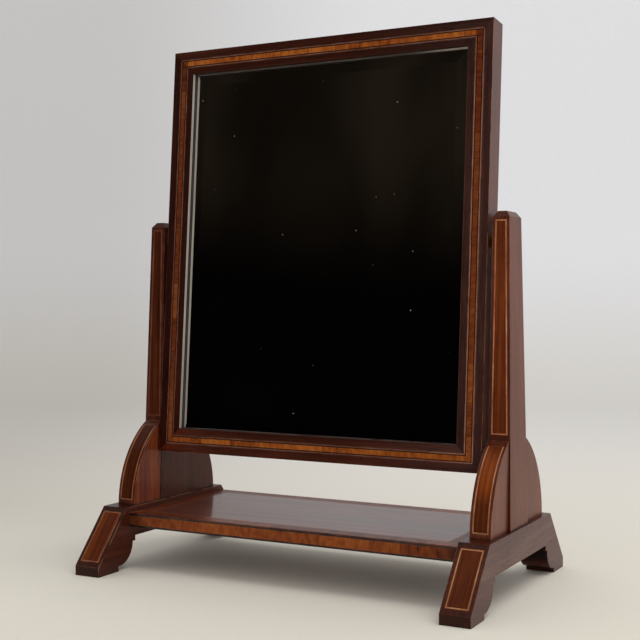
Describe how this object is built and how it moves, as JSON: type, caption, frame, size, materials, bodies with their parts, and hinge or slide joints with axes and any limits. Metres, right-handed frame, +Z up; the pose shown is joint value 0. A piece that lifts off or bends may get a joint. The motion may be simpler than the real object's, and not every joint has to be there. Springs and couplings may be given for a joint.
{
  "type": "dressing table mirror",
  "caption": "Swing mirror for a dressing table: bevelled glass in an inlaid frame, pivoting between tapered posts on bracket feet with an open shelf.",
  "frame": {"origin": "on the floor, under the middle of the four feet", "axes": "+X to the right of someone who looks into the mirror, +Y from the front to the back, +Z up"},
  "size_m": [0.4804, 0.3098, 0.6209],
  "materials": {
    "mahogany": "french polished",
    "figured_veneer": "french polished",
    "satinwood": "french polished",
    "boxwood": "french polished",
    "softwood": "sawn, raw",
    "backboard_wood": "planed, thinly stained",
    "mirror_glass": "silvered, bevelled",
    "brass": "aged",
    "leather": "worn"
  },
  "bodies": {
    "stand": {"left_foot_rail": "mahogany", "right_foot_rail": "mahogany", "left_upright": "mahogany", "right_upright": "mahogany", "left_front_bracket": "mahogany", "right_front_bracket": "mahogany", "left_rear_bracket": "mahogany", "right_rear_bracket": "mahogany", "shelf": "mahogany", "left_foot_stringing": "boxwood", "right_foot_stringing": "boxwood", "left_foot_panel": "figured_veneer", "right_foot_panel": "figured_veneer", "left_upright_stringing": "boxwood", "right_upright_stringing": "boxwood", "left_upright_panel": "figured_veneer", "right_upright_panel": "figured_veneer", "left_bracket_stringing": "boxwood", "right_bracket_stringing": "boxwood", "left_bracket_panel": "figured_veneer", "right_bracket_panel": "figured_veneer", "shelf_front_band": "satinwood", "shelf_crossbanding": "figured_veneer", "shelf_stringing": "boxwood", "left_socket_plate": "brass", "right_socket_plate": "brass", "left_pivot_washer": "leather", "right_pivot_washer": "leather", "socket_screws": "brass"},
    "mirror": {"frame_top_rail": "mahogany", "frame_bottom_rail": "mahogany", "frame_left_stile": "mahogany", "frame_right_stile": "mahogany", "frame_outer_string": "boxwood", "frame_banding": "satinwood", "frame_inner_string": "boxwood", "mitre_tongues": "softwood", "mirror_plate": "mirror_glass", "glazing_blocks": "softwood", "backboard": "backboard_wood", "backboard_screws": "brass", "left_stud_plate": "brass", "right_stud_plate": "brass", "stud_screws": "brass"}
  },
  "joints": [
    {"name": "mirror_swing", "type": "hinge", "parent": "stand", "child": "mirror", "pos_m": [0, 0, 0.3791], "axis": [-1, 0, 0], "continuous": true}
  ]
}
